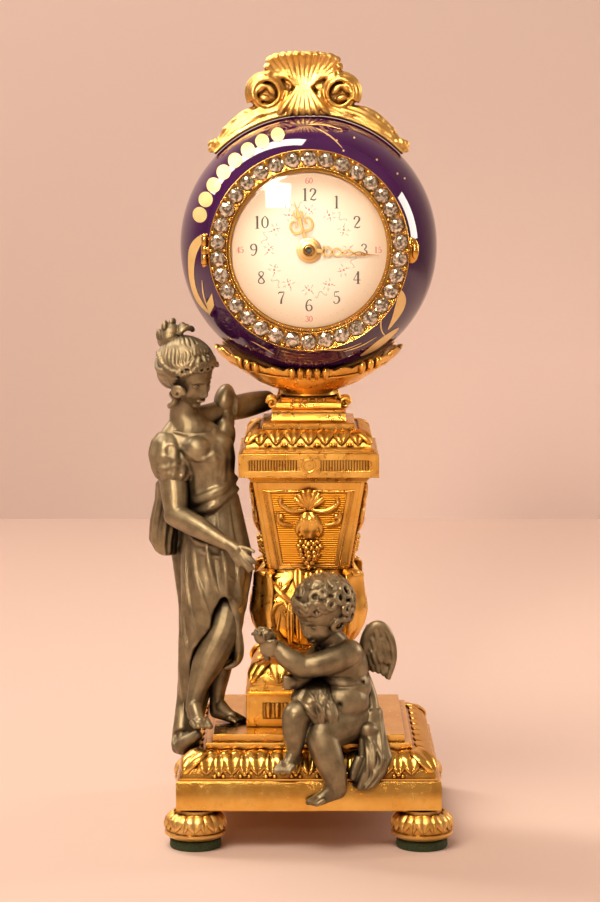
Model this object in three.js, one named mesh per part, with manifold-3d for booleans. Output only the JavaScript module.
// A French gilt and patinated figural mantel clock: a blue glazed ball with a paste-set bezel stands in
// a boat-shaped
// cup on a square pedestal, between a standing woman and a seated winged child, on a stepped plinth with
// four feet.
// Millimetres, +Z up. The dial looks along -Y, +X is to the right of someone who reads it, and the
// origin is on
// the floor under the middle of the pedestal.
import * as THREE from "three";
import { mergeVertices } from "three/addons/utils/BufferGeometryUtils.js";
import Module from "manifold-3d";

// Fits that every piece shares
const fitGap = 0.3; // air between two pieces that seat on each other
const overrun = 1; // how far a cutter runs past the face that it cuts
const weldDepth = 0.4; // how deep an applied ornament is let into its ground

// Feet
const feltRadius = 9;
const feltThick = 3.2;
const footInset = 6.6; // from the edge of the slab to the middle of a foot, along X and along Y
const footRadius = 11;
const footHeight = 10.2;
const footLobes = 8;
const footLobeShare = 0.06;

// Plinth, one casting
const slabHalf = 46.6;
const slabHeight = 10.6;
const ovoloInset = 1.7; // from the edge of the slab to the carved moulding on it
const ovoloSlope = 7.1; // how far that moulding draws in to its top
const ovoloHeight = 9;
const ovoloLeaves = 7; // carved leaves on each side
const leafRelief = 0.9;
const lowerStepInset = 1.3; // from the top of the moulding
const lowerStepHeight = 2.6;
const upperStepInset = 2.5; // from the edge of the lower step
const upperStepHeight = 2.6;

// Pedestal, four castings threaded on a rod
const rodRadius = 2;
const nutRadius = 4.6;
const nutHeight = 3;
const blockHalf = 22.2;
const blockHeight = 11.1;
const blockFlutes = 6;
const fluteDepth = 0.8;
const panelBorder = 2.6;
const socleHalf = 21.4;
const socleHeight = 11.6;
const bulbHalf = 20.9;
const bulbHeight = 32.4;
const bulbLeafRelief = 1.4;
const shaftFootHalf = 14.35;
const shaftTopHalf = 19.8;
const shaftHeight = 32;
const shaftPanelDepth = 1.4;
const underMouldHalf = 21.8;
const underMouldHeight = 2.2;
const capitalHalf = 24.85;
const capitalHeight = 8.2;
const friezeDepth = 0.7;
const roundelRadius = 3.2;
const roundelRise = 0.9;
const cushionHalf = 23.2;
const cushionFillet = 2;
const cushionHeight = 5.8;
const cushionLeaves = 5;
const wideStepHalf = 16.5;
const wideStepHeight = 2.4;
const narrowStepHalf = 13.1;
const narrowStepHeight = 3.2;
const stemHalf = 9.9;
const stemHeight = 5;
const voluteRadius = 4.2;
const voluteReach = 12.4; // from the middle of the stem to the middle of a volute
const voluteDepth = 9;

// Cup
const cupTipReach = 33.4; // half length of the boat shape, along X
const cupTipRise = 18; // from the underside of the cup to a tip
const cupLipReach = 16.6; // half width of the boat shape, along Y
const cupLipRise = 10.4; // from the underside of the cup to the front lip
const cupFootHalf = 10.5;
const gadroonRelief = 1.1;
const gadroonTurns = 14; // gadroons round the whole cup

// Ball
const ballRadius = 46;
const ballWall = 3;
const ballSides = 30;
const cupFloor = 7.4; // metal between the underside of the cup and the lowest point of the ball

// Movement drum and back
const drumShare = 0.6348; // radius of the drum as a share of the ball's
const drumWall = 1;
const seatWidth = 5; // how far the fixed ring that the bezel closes on reaches beyond the drum
const seatDepth = 1.06; // from the mouth of the ball forwards to the front face of the fixed ring
const coverLap = 3.8; // how far the back cover reaches beyond the drum
const coverThick = 1.6;
const coverDome = 2.4;

// Bezel
const bezelLap = 0.5; // how far the bezel hangs over the fixed ring
const bezelInset = 0.9; // how far the mouth of the bezel lies inside the drum
const rimWidth = 0.7;
const bezelThick = 3.4;
const stoneCount = 34;
const stoneFillShare = 1.02; // of the channel between the rims
const stoneRise = 1.5;
const stoneTableShare = 0.55;
const tabWidth = 8.6;
const tabReach = 3;
const hingeOffset = 1.4; // from the outside of the bezel to the hinge axis
const hingePinRadius = 0.6;
const knuckleRadius = 1.15;
const knuckleLength = 3;
const bezelOpens = 110; // degrees

// Glass, dial and hands
const glassThick = 0.9;
const glassDome = 3.6;
const dialThick = 1;
const dialDome = 0.9;
const dialHoleRadius = 3;
const cannonPipeRadius = 1.3;
const hourPipeRadius = 2.2;
const hourHandShare = 0.631; // reach of a hand as a share of the radius inside the drum
const minuteHandShare = 0.8746;
const handThick = 0.4;
const handBossRadius = 4.4;
const minuteBossRadius = 3;
const hourHandTurn = -17; // degrees clockwise from twelve, as photographed
const minuteHandTurn = 94;

// Movement
const plateThick = 1.2;
const pillarInset = 3.9; // from the edge of a plate to the middle of a pillar
const pillarRadius = 1.6;
const pillarCount = 3;
const plateSpace = 14; // between the two plates
const dialSpace = 5; // between the dial and the front plate
const toothShare = 0.02055; // pitch diameter for each tooth, as a share of the drum's radius
const wheelThick = 0.8;
const arborRadius = 0.6;
const pivotGap = 0.35; // air round an arbor in a plate
const barrelTeeth = 30;
const centreTeeth = 28;
const thirdTeeth = 24;
const fourthTeeth = 21;
const escapeTeeth = 12;
const escapeRadius = 4.4;
const cylinderGap = 0.5; // between the escape wheel's teeth and the balance staff
const trainPinionTeeth = 6;
const cannonTeeth = 8;
const minuteWheelTeeth = 24;
const minutePinionTeeth = 6;
const hourWheelTeeth = 24;
const ratchetTeeth = 10;
const ratchetRadius = 4.6;
const balanceRadius = 6.4;
const balanceRimWidth = 0.9;
const keyWidth = 17;
const keyHeight = 11;
const keyThick = 2;
const keyStandoff = 7;
const setKnobRadius = 4.2;
const setKnobThick = 3;

// Finial
const finialDepth = 9;
const saddleReach = 35.2;
const shellHeight = 16.5;
const shellHalfWidth = 13.3;
const shellRibs = 5;
const shellOffset = -2.2; // the shell stands a little left of the middle

// Colours
const gilt = { color: 0xd8952f, roughness: 0.32, metalness: 1 };
const paleGilt = { color: 0xe8b85a, roughness: 0.3, metalness: 1 };
const patina = { color: 0x5c4c3e, roughness: 0.45, metalness: 0.85 };
const brass = { color: 0xc9a452, roughness: 0.35, metalness: 1 };
const steel = { color: 0x8d9096, roughness: 0.3, metalness: 1 };
const glaze = { color: 0x2c1650, roughness: 0.12, metalness: 0 };
const enamel = { color: 0xf4f1e8, roughness: 0.2, metalness: 0 };
const clearGlass = { color: 0xe8f0f0, roughness: 0.05, metalness: 0 };
const felt = { color: 0x3a4a2a, roughness: 0.95, metalness: 0 };

// Half widths of the plinth, each worked out from the one below
const footSpread = slabHalf - footInset;
const ovoloHalf = slabHalf - ovoloInset;
const ovoloTopHalf = ovoloHalf - ovoloSlope;
const lowerStepHalf = ovoloTopHalf - lowerStepInset;
const upperStepHalf = lowerStepHalf - upperStepInset;

// Rings round the dial, each worked out from the ball
const drumRadius = ballRadius * drumShare;
const seatRadius = drumRadius + seatWidth;
const coverRadius = drumRadius + coverLap;
const bezelRadius = seatRadius + bezelLap;
const bezelInnerRadius = drumRadius - bezelInset;
const stoneCircleRadius = (bezelRadius + bezelInnerRadius) / 2;
const stoneRadius = ((bezelRadius - bezelInnerRadius) / 2 - rimWidth) * stoneFillShare;
const toothModule = drumRadius * toothShare;

// Heights of the stack, each worked out from the one below
const footBase = feltThick + fitGap;
const slabBase = footBase + footHeight + fitGap;
const ovoloBase = slabBase + slabHeight;
const lowerStepBase = ovoloBase + ovoloHeight;
const upperStepBase = lowerStepBase + lowerStepHeight;
const plinthTop = upperStepBase + upperStepHeight;
const nutWellDepth = nutHeight + 2 * fitGap;
const blockBase = plinthTop + fitGap;
const socleBase = blockBase + blockHeight;
const bulbBase = socleBase + socleHeight + fitGap;
const shaftBase = bulbBase + bulbHeight + fitGap;
const capitalBase = shaftBase + shaftHeight + fitGap;
const capitalSlabBase = capitalBase + underMouldHeight;
const cushionBase = capitalSlabBase + capitalHeight;
const cushionTop = cushionBase + cushionFillet + cushionHeight;
const wideStepTop = cushionTop + wideStepHeight;
const capitalTop = wideStepTop + narrowStepHeight;
const stemBase = capitalTop + fitGap;
const cupBase = stemBase + stemHeight + fitGap;
const ballHeight = cupBase + cupFloor + fitGap + ballRadius;

const fullTurn = 2 * Math.PI;
const degrees = Math.PI / 180;
const wasm = await Module();
wasm.setup();
const clock = new THREE.Group();

// Joining and cutting

// A closed geometry as a solid: vertices merged, faces that have shrunk to a line left out, turned to
// face outwards.
function solid(geometry) {
  const bare = new THREE.BufferGeometry();
  const plain = geometry.index ? geometry.toNonIndexed() : geometry;
  bare.setAttribute("position", plain.getAttribute("position"));
  const merged = mergeVertices(bare, 1e-4);
  const kept = [];
  for (let i = 0; i < merged.index.count; i += 3) {
    const [a, b, c] = [0, 1, 2].map((k) => merged.index.getX(i + k));
    if (a !== b && b !== c && c !== a) kept.push([a, b, c]);
  }
  const build = (faces) =>
    new wasm.Manifold(
      new wasm.Mesh({
        numProp: 3,
        vertProperties: merged.attributes.position.array,
        triVerts: new Uint32Array(faces.flat()),
      }),
    );
  const made = build(kept);
  if (made.volume() > 0) return made;
  return build(kept.map(([a, b, c]) => [a, c, b]));
}

const isSolid = (thing) => typeof thing.subtract === "function";
const asSolid = (thing) => (isSolid(thing) ? thing : solid(thing));
const join = (...things) => things.flat().map(asSolid).reduce((whole, next) => whole.add(next));
const cut = (body, ...tools) => tools.flat().map(asSolid).reduce((left, tool) => left.subtract(tool),
  asSolid(body));
const common = (one, other) => asSolid(one).intersect(asSolid(other));

function geometryOf(thing) {
  const { vertProperties, triVerts, numProp } = asSolid(thing).getMesh();
  const places = new Float32Array((vertProperties.length / numProp) * 3);
  for (let i = 0; i < places.length / 3; i += 1)
    for (let k = 0; k < 3; k += 1) places[3 * i + k] = vertProperties[numProp * i + k];
  const geometry = new THREE.BufferGeometry();
  geometry.setAttribute("position", new THREE.BufferAttribute(places, 3));
  geometry.setIndex(new THREE.BufferAttribute(new Uint32Array(triVerts), 1));
  geometry.computeVertexNormals();
  return geometry;
}

function addPart(name, thing, look, at = [0, 0, 0]) {
  const mesh = new THREE.Mesh(geometryOf(thing),
    new THREE.MeshStandardMaterial({ ...look, flatShading: true }));
  mesh.name = name;
  mesh.position.set(...at);
  clock.add(mesh);
  return mesh;
}

// Basic forms, all with +Z as their axis

// Turns a list of shares into radius and height points of one outline.
const outline = (shares, width, height, base = 0) =>
  shares.map(([across, up]) => new THREE.Vector2(across * width, base + up * height));

// A solid of revolution; with four sides it is a square moulding whose outline gives half widths.
function turned(points, sides = 32) {
  const spin = new THREE.LatheGeometry([...points, points[0]], sides).rotateX(Math.PI / 2);
  return spin;
}
function squareTurned(points) {
  const corner = Math.SQRT2;
  return turned(points.map((p) => new THREE.Vector2(p.x * corner, p.y)), 4).rotateZ(Math.PI / 4);
}
const onAxis = (points) => [
  new THREE.Vector2(0, points[0].y),
  ...points,
  new THREE.Vector2(0, points[points.length - 1].y),
];
const box = (wide, deep, tall, x = 0, y = 0, z = 0) => new THREE.BoxGeometry(wide, deep, tall).translate(x,
  y, z);
const rod = (radius, length, sides = 12, x = 0, y = 0, z = 0) =>
  new THREE.CylinderGeometry(radius, radius, length, sides).rotateX(Math.PI / 2).translate(x, y, z);
const egg = (wide, deep, tall, x, y, z, around = 10, rows = 7) =>
  new THREE.SphereGeometry(1, around, rows).rotateX(Math.PI / 2).scale(wide, deep, tall).translate(x, y, z);

// Skins a row of rings, each a list of the same number of points, and closes both ends.
function loft(rings) {
  const places = [];
  const count = rings[0].length;
  const face = (a, b, c) => places.push(a.x, a.y, a.z, b.x, b.y, b.z, c.x, c.y, c.z);
  const middle = (ring) => ring.reduce((sum, p) => sum.add(p), new THREE.Vector3()).divideScalar(count);
  for (let row = 0; row + 1 < rings.length; row += 1)
    for (let i = 0; i < count; i += 1) {
      const next = (i + 1) % count;
      face(rings[row][i], rings[row][next], rings[row + 1][next]);
      face(rings[row][i], rings[row + 1][next], rings[row + 1][i]);
    }
  const first = rings[0];
  const last = rings[rings.length - 1];
  for (let i = 0; i < count; i += 1) {
    const next = (i + 1) % count;
    face(middle(first), first[next], first[i]);
    face(middle(last), last[i], last[next]);
  }
  const skin = new THREE.BufferGeometry();
  skin.setAttribute("position", new THREE.Float32BufferAttribute(places, 3));
  return skin;
}

// An upright ring round a middle, as wide and deep as given; swell gives each angle its share of the size.
function levelRing([x, y, z], wide, deep, count, swell = () => 1) {
  return Array.from({ length: count }, (_, i) => {
    const angle = (fullTurn * i) / count;
    const size = swell(angle);
    return new THREE.Vector3(x + wide * size * Math.cos(angle), y + deep * size * Math.sin(angle), z);
  });
}

// A tapering limb along a row of [place, radius across, radius through], with its ends rounded in.
function limb(stations, count = 8, across = new THREE.Vector3(1, 0, 0)) {
  const places = stations.map(([place]) => new THREE.Vector3(...place));
  const rings = stations.map(([, wide, deep = wide], i) => {
    const before = places[Math.max(i - 1, 0)];
    const after = places[Math.min(i + 1, places.length - 1)];
    const along = after.clone().sub(before).normalize();
    const side = across.clone().sub(along.clone().multiplyScalar(across.dot(along))).normalize();
    const through = new THREE.Vector3().crossVectors(along, side);
    return Array.from({ length: count }, (_, k) => {
      const angle = (fullTurn * k) / count;
      return places[i]
        .clone()
        .addScaledVector(side, wide * Math.cos(angle))
        .addScaledVector(through, deep * Math.sin(angle));
    });
  });
  return loft(rings);
}

// A flat outline given thickness along Z.
function slab(points, thick, base = 0) {
  const shape = new THREE.Shape(points.map(([x, y]) => new THREE.Vector2(x, y)));
  return new THREE.ExtrudeGeometry(shape, { depth: thick, bevelEnabled: false }).translate(0, 0, base);
}

// Turns a form made along Z so that its axis looks forwards along -Y, as all parts of the movement do; a
// form's
// height above Z = 0 becomes its distance in front of the middle of the ball.
const facingFront = (geometry) => geometry.rotateX(Math.PI / 2);
const fourWays = (make) => [0, 1, 2, 3].map((quarter) => make().rotateZ((quarter * Math.PI) / 2));

// Feet: a felt pad and a lobed cast bun at each corner

const footShares = [[0.86, 0], [1, 0.08], [1, 0.26], [0.94, 0.34], [0.86, 0.76], [0.72, 1]];

function footCasting() {
  const dip = (angle) => 1 - Math.abs(Math.cos((footLobes * angle) / 2));
  const lobe = (rise) => (angle) => 1 - footLobeShare * rise * dip(angle);
  const rings = footShares.map(([across, up], i) => {
    const lobed = i > 2 && i < footShares.length - 1 ? 1 : 0;
    const radius = across * footRadius;
    return levelRing([0, 0, up * footHeight], radius, radius, 2 * footLobes, lobe(lobed));
  });
  return loft(rings);
}

for (const [side, x] of [["left", -footSpread], ["right", footSpread]])
  for (const [end, y] of [["front", -footSpread], ["rear", footSpread]]) {
    addPart(`felt_pad_${end}_${side}`, rod(feltRadius, feltThick, 12, 0, 0, feltThick / 2), felt,
      [x, y, 0]);
    addPart(`foot_${end}_${side}`, footCasting(), gilt, [x, y, footBase]);
  }

// Plinth

const slabShares = [[0.985, 0], [1, 0.06], [1, 0.9], [0.985, 1]];
const ovoloShares = [[0, 0.04], [0.06, 0.4], [0.4, 0.78], [1, 1]];

// A square ring of carved leaves: each leaf has its rib on the outline and its two hollows set back.
function leafRing(half, height, leaves, relief) {
  const ring = [];
  for (let side = 0; side < 4; side += 1)
    for (let i = 0; i < 2 * leaves; i += 1) {
      const along = -half + (half * i) / leaves;
      const back = i % 2 === 0 && i > 0 ? relief : 0;
      const corner = i === 0 ? half : half - back;
      const point = new THREE.Vector3(corner, i === 0 ? -half : along, height);
      ring.push(point.applyAxisAngle(new THREE.Vector3(0, 0, 1), (side * Math.PI) / 2));
    }
  return ring;
}

const plinthSteps = [
  [lowerStepHalf, lowerStepBase],
  [lowerStepHalf, upperStepBase],
  [upperStepHalf, upperStepBase],
  [upperStepHalf, plinthTop],
];

// The plain outline of the plinth, grown by some air where other pieces are cut clear of it.
function plinthEnvelope(air = 0) {
  const wide = ovoloHalf - ovoloTopHalf;
  const points = [
    ...outline(slabShares, slabHalf, slabHeight, slabBase),
    ...ovoloShares.map(([back, up]) => new THREE.Vector2(ovoloHalf - back * wide,
      ovoloBase + up * ovoloHeight)),
    ...plinthSteps.map(([half, height]) => new THREE.Vector2(half, height)),
  ];
  return squareTurned(onAxis(points.map((p) => new THREE.Vector2(p.x + air, p.y + air))));
}

function plinth() {
  const wide = ovoloHalf - ovoloTopHalf;
  const slabRings = outline(slabShares, slabHalf, slabHeight, slabBase);
  const rows = [
    ...slabRings.map((p) => [p.x, p.y, 0]),
    ...ovoloShares.map(([back, up], i) => [
      ovoloHalf - back * wide,
      ovoloBase + up * ovoloHeight,
      i === ovoloShares.length - 1 ? 0 : leafRelief,
    ]),
  ];
  const carved = loft(rows.slice(3).map(([half, height, relief]) => leafRing(half, height, ovoloLeaves,
    relief)));
  const plain = squareTurned(onAxis(rows.slice(0,
    4).map(([half, height]) => new THREE.Vector2(half, height))));
  const steps = squareTurned(onAxis([
    new THREE.Vector2(lowerStepHalf, lowerStepBase - overrun),
    ...plinthSteps.map(([half, height]) => new THREE.Vector2(half, height)),
  ]));
  const nutWell = rod(nutRadius + fitGap, nutWellDepth + overrun, 12, 0, 0,
    slabBase + (nutWellDepth - overrun) / 2);
  const bore = rod(rodRadius + fitGap, 2 * plinthTop, 8);
  return cut(join(plain, carved, steps), nutWell, bore);
}

addPart("base_plinth", plinth(), gilt);

// Pedestal

const bore = () => rod(rodRadius + fitGap, 2 * cupBase, 8, 0, 0, cupBase / 2);
const socleShares = [[1.02, 0], [1.06, 0.06], [1.02, 0.14], [0.98, 0.2], [0.94, 0.45], [0.84, 0.72],
  [0.7, 0.84],
  [0.74, 0.9], [0.66, 1]];
const pedestalOutline = [
  new THREE.Vector2(blockHalf, blockBase),
  new THREE.Vector2(blockHalf, socleBase),
  ...outline(socleShares, socleHalf, socleHeight, socleBase),
];

// A row of upright grooves, cut into the +X face of a square block.
function fluteRow(half, width, base, height, flutes, depth) {
  const pitch = width / flutes;
  const points = [[half + overrun, -width / 2]];
  for (let i = 0; i < flutes; i += 1) {
    const start = -width / 2 + i * pitch;
    points.push([half - depth / 4, start], [half - depth, start + pitch / 2]);
  }
  points.push([half - depth / 4, width / 2], [half + overrun, width / 2]);
  return slab(points.reverse(), height, base);
}

function pedestalFoot() {
  const body = squareTurned(onAxis(pedestalOutline));
  const width = 2 * (blockHalf - panelBorder);
  const height = blockHeight - 2 * panelBorder;
  const flutes = fourWays(() => fluteRow(blockHalf, width, blockBase + panelBorder, height, blockFlutes,
    fluteDepth));
  return cut(body, flutes, bore());
}
addPart("pedestal_foot", pedestalFoot(), gilt);

const bulbShares = [[0.6, 0], [0.64, 0.08], [0.9, 0.24], [1, 0.5], [0.9, 0.74], [0.74, 0.88], [0.78, 1]];
const bulbRingPoints = 16;
const bulbSquareness = 0.78; // share of the way from a round bulb to a square one
const bulbCornerShare = 1.3; // how far a corner may reach, as a share of the half width
const bulbLeaves = 8;
const curlPlaceShares = [0.74, 0.8]; // outwards and up, of the bulb's half width and height
const curlSizeShares = [1.5, 2.4]; // round and long, of the leaves' relief

// The bulb is nearly square in plan, with a leaf on each face and one on each corner whose tip curls out.
function pedestalBulb() {
  const plan = (angle) => {
    const square = 1 / Math.max(Math.abs(Math.cos(angle)), Math.abs(Math.sin(angle)));
    return 1 + bulbSquareness * (Math.min(square, bulbCornerShare) - 1);
  };
  const rings = bulbShares.map(([across, up], i) => {
    const relief = i > 0 && i < bulbShares.length - 2 ? bulbLeafRelief : 0;
    const radius = across * bulbHalf;
    const hollow = (angle) => (1 - Math.cos(bulbLeaves * angle)) / 2;
    const swell = (angle) => plan(angle) - (relief / radius) * hollow(angle);
    return levelRing([0, 0, bulbBase + up * bulbHeight], radius, radius, bulbRingPoints, swell);
  });
  const [round, long] = curlSizeShares.map((share) => share * bulbLeafRelief);
  const [out, up] = curlPlaceShares;
  const curls = fourWays(() =>
    egg(round, long, round, 0, 0, 0, 6, 4)
      .rotateZ(Math.PI / 4)
      .translate(bulbHalf * out, bulbHalf * out, bulbBase + up * bulbHeight),
  );
  return cut(join(loft(rings), curls), bore());
}
addPart("pedestal_bulb", pedestalBulb(), gilt);

function shaftEnvelope(air = 0) {
  return [
    new THREE.Vector2(shaftFootHalf + air, shaftBase),
    new THREE.Vector2(shaftTopHalf + air, shaftBase + shaftHeight),
  ];
}

// Four sunk panels, and on the front a palmette over a leaf and a bunch of grapes.
const panelShares = [[0.68, 0.1], [0.74, 0.9]]; // half width of the panel as shares of the half width there
const palmetteRibs = 5;
const grapeRows = 2;
const ornamentShare = 0.3;
const ornamentHeightShares = { palmette: 0.68, leaf: 0.52, grapes: 0.3 }; // up the shaft
const palmetteSpread = 70; // degrees to each side
const palmetteRibShares = [0.16, 0.62]; // half width and half length, of the ornament's size
const leafShares = [0.8, 0.3];
const grapeShare = 0.26;
const grapePitchShare = 0.42;
const grapeRowShare = 0.06; // of the shaft's height
const stalkShare = 0.3;

function shaftPanel() {
  const [[low, lowUp], [high, highUp]] = panelShares;
  const halfAt = (up) => shaftFootHalf + (shaftTopHalf - shaftFootHalf) * up;
  const ring = (share, up) => {
    const outside = halfAt(up) + overrun;
    const inside = halfAt(up) - shaftPanelDepth;
    const wide = share * halfAt(up);
    const height = shaftBase + up * shaftHeight;
    return [[inside, -wide], [outside, -wide], [outside, wide], [inside, wide]]
      .map(([x, y]) => new THREE.Vector3(x, y, height));
  };
  return loft([ring(low, lowUp), ring(high, highUp)]);
}

function shaftOrnament() {
  const pieces = [];
  const size = ornamentShare * shaftTopHalf;
  const faceAt = (up) => -(shaftFootHalf + (shaftTopHalf - shaftFootHalf) * up) + shaftPanelDepth;
  const { palmette, leaf, grapes } = ornamentHeightShares;
  const [ribWide, ribLong] = palmetteRibShares.map((share) => share * size);
  for (let i = 0; i < palmetteRibs; i += 1) {
    const angle = palmetteSpread * degrees * ((2 * i) / (palmetteRibs - 1) - 1);
    const rib = egg(ribWide, shaftPanelDepth, ribLong, 0, 0, size / 2, 5, 4).rotateY(angle);
    pieces.push(rib.translate(0, faceAt(palmette), shaftBase + palmette * shaftHeight));
  }
  const [leafWide, leafTall] = leafShares.map((share) => share * size);
  pieces.push(egg(leafWide, shaftPanelDepth, leafTall, 0, faceAt(leaf), shaftBase + leaf * shaftHeight, 6,
    4));
  for (let row = 0; row < grapeRows; row += 1)
    for (let i = 0; i <= grapeRows - row - 1; i += 1) {
      const across = (i - (grapeRows - row - 1) / 2) * size * grapePitchShare;
      const up = grapes + (1 - row) * grapeRowShare;
      const grape = size * grapeShare;
      pieces.push(egg(grape, shaftPanelDepth, grape, across, faceAt(up), shaftBase + up * shaftHeight, 5,
        4));
    }
  const stalk = (grapes + palmette) / 2;
  const stalkLength = (palmette - grapes) * shaftHeight;
  const stalkWide = size * stalkShare;
  pieces.push(box(stalkWide, shaftPanelDepth, stalkLength, 0, faceAt(stalk) + fitGap,
    shaftBase + stalk * shaftHeight));
  return pieces;
}

function pedestalShaft() {
  const body = cut(squareTurned(onAxis(shaftEnvelope())), fourWays(shaftPanel));
  return cut(join(body, shaftOrnament()), bore());
}
addPart("pedestal_shaft", pedestalShaft(), gilt);

const underMouldFootShare = 0.94;
const capitalOutline = [
  new THREE.Vector2(underMouldHalf * underMouldFootShare, capitalBase),
  new THREE.Vector2(underMouldHalf, capitalBase + underMouldHeight / 2),
  new THREE.Vector2(underMouldHalf, capitalSlabBase),
  new THREE.Vector2(capitalHalf, capitalSlabBase),
  new THREE.Vector2(capitalHalf, cushionBase),
];
const roundelClearShare = 1.6; // where a panel starts beside the roundel, of its radius
const roundelEyeShare = 0.42;
const cushionShares = [[0, 0], [0.26, 0.56], [1, 1]];
const capitalSteps = [
  [wideStepHalf, cushionTop],
  [wideStepHalf, wideStepTop],
  [narrowStepHalf, wideStepTop],
  [narrowStepHalf, capitalTop],
];

function capitalEnvelope(air = 0) {
  const wide = cushionHalf - wideStepHalf;
  const cushionStart = cushionBase + cushionFillet;
  const points = [
    ...capitalOutline,
    new THREE.Vector2(cushionHalf, cushionBase),
    new THREE.Vector2(cushionHalf, cushionStart),
    ...cushionShares.map(([back, up]) => new THREE.Vector2(cushionHalf - back * wide,
      cushionStart + up * cushionHeight)),
    ...capitalSteps.map(([half, height]) => new THREE.Vector2(half, height)),
  ];
  return squareTurned(onAxis(points.map((p, i) => new THREE.Vector2(p.x + air,
    i === 0 ? p.y - air : p.y + air))));
}

function pedestalCapital() {
  const wide = cushionHalf - wideStepHalf;
  const cushionStart = cushionBase + cushionFillet;
  const body = squareTurned(onAxis(capitalOutline));
  const fillet = squareTurned(onAxis([
    new THREE.Vector2(cushionHalf, cushionBase - overrun),
    new THREE.Vector2(cushionHalf, cushionStart),
  ]));
  const leaves = loft(cushionShares.map(([back, up], i) => {
    const relief = i === cushionShares.length - 1 ? 0 : leafRelief;
    return leafRing(cushionHalf - back * wide, cushionStart + up * cushionHeight, cushionLeaves, relief);
  }));
  const steps = squareTurned(onAxis([
    new THREE.Vector2(wideStepHalf, cushionTop - overrun),
    ...capitalSteps.map(([half, height]) => new THREE.Vector2(half, height)),
  ]));
  const panelHeight = capitalHeight - 2 * panelBorder;
  const panelWidth = capitalHalf - panelBorder - 2 * roundelRadius;
  const middle = (capitalHalf - panelBorder + roundelClearShare * roundelRadius) / 2;
  const sunk = friezeDepth + overrun;
  const frieze = (y) => box(sunk, panelWidth, panelHeight, capitalHalf - friezeDepth + sunk / 2, y,
    capitalSlabBase + capitalHeight / 2);
  const panels = [...fourWays(() => frieze(middle)), ...fourWays(() => frieze(-middle))];
  const roundel = () => join(rod(roundelRadius, roundelRise + weldDepth, 10),
    rod(roundelRadius * roundelEyeShare, roundelRise, 6, 0, 0, roundelRise));
  const roundels = [0, 1, 2, 3].map((quarter) =>
    roundel().rotate([90, 0, quarter * 90]).translate([
      (capitalHalf + (roundelRise - weldDepth) / 2) * Math.sin(quarter * 90 * degrees),
      -(capitalHalf + (roundelRise - weldDepth) / 2) * Math.cos(quarter * 90 * degrees),
      capitalSlabBase + capitalHeight / 2,
    ]),
  );
  return cut(join(cut(join(body, fillet, leaves, steps), panels), roundels), bore());
}
addPart("pedestal_capital", pedestalCapital(), gilt);

// Stem between the capital and the cup, with a scroll on each side

const voluteEyeShare = 0.45;
const voluteGrooveShare = 0.75;
const voluteGrooveDepthShare = 0.08;
const stemShares = [[1.12, 0], [1.12, 0.2], [0.92, 0.35], [0.9, 0.6], [1.1, 0.9], [1.14, 1]];

function cupStem() {
  const neck = squareTurned(onAxis(outline(stemShares, stemHalf, stemHeight, stemBase)));
  const height = stemBase + stemHeight / 2;
  const scroll = (side) => {
    const drum = rod(voluteRadius, voluteDepth);
    const sunk = voluteDepth * (1 - voluteGrooveDepthShare);
    const groove = cut(rod(voluteRadius * voluteGrooveShare, voluteDepth, 12, 0, 0, sunk),
      rod(voluteRadius * voluteEyeShare, 2 * voluteDepth, 8, 0, 0, voluteDepth));
    const lower = cut(drum, groove).rotate([90, 0, 0]);
    return lower.translate([side * voluteReach, 0, height]);
  };
  const flat = box(2 * cupTipReach, 2 * cupTipReach, stemHeight, 0, 0, stemBase + stemHeight / 2);
  return cut(common(join(neck, scroll(-1), scroll(1)), flat), bore());
}
addPart("cup_stem", cupStem(), gilt);

// Cup: boat-shaped, gadrooned, hollowed to the ball

const cupShares = [[0.36, 0], [0.66, 0.16], [0.88, 0.46], [0.97, 0.8], [1, 1]];
const cupRingPoints = 2 * gadroonTurns;
const cupSheerPower = 2.2; // how suddenly the lip sweeps up to a tip
const cupFlankPower = 0.8; // how full the flanks of the boat are
const cupKeelShare = 0.34; // width of the keel, of the width at the lip
const hollowSides = 22;
const hollowRows = 16;

// What the ball needs in the pieces that hold it: a ball grown by more than the sag of its own coarse sides
const hollowAir = 2.4 * fitGap;
const ballHollow = () => new THREE.SphereGeometry(ballRadius + hollowAir, hollowSides, hollowRows)
  .rotateX(Math.PI / 2).translate(0, 0, ballHeight);

function ballCup() {
  const rings = cupShares.map(([across, up], row) =>
    Array.from({ length: cupRingPoints }, (_, i) => {
      const angle = (fullTurn * i) / cupRingPoints;
      const side = Math.abs(Math.cos(angle));
      const rise = cupLipRise + (cupTipRise - cupLipRise) * side ** cupSheerPower;
      const relief = row > 0 && row < cupShares.length - 1 && i % 2 === 1 ? gadroonRelief : 0;
      const wide = Math.max(across * cupTipReach - relief, 0);
      const deep = Math.max((cupKeelShare + (1 - cupKeelShare) * across) * cupLipReach - relief, 0);
      const x = wide * Math.cos(angle);
      const y = deep * Math.sign(Math.sin(angle)) * Math.abs(Math.sin(angle)) ** cupFlankPower;
      return new THREE.Vector3(x, y, cupBase + up * rise);
    }),
  );
  return cut(loft(rings), ballHollow(), bore());
}
addPart("ball_cup", ballCup(), gilt);

// Ball: a glazed shell open at the front and the back for the movement drum

const ballOpening = drumRadius + 2 * fitGap;
const ballOuterRows = 8;
const ballInnerRows = 2;

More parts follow.
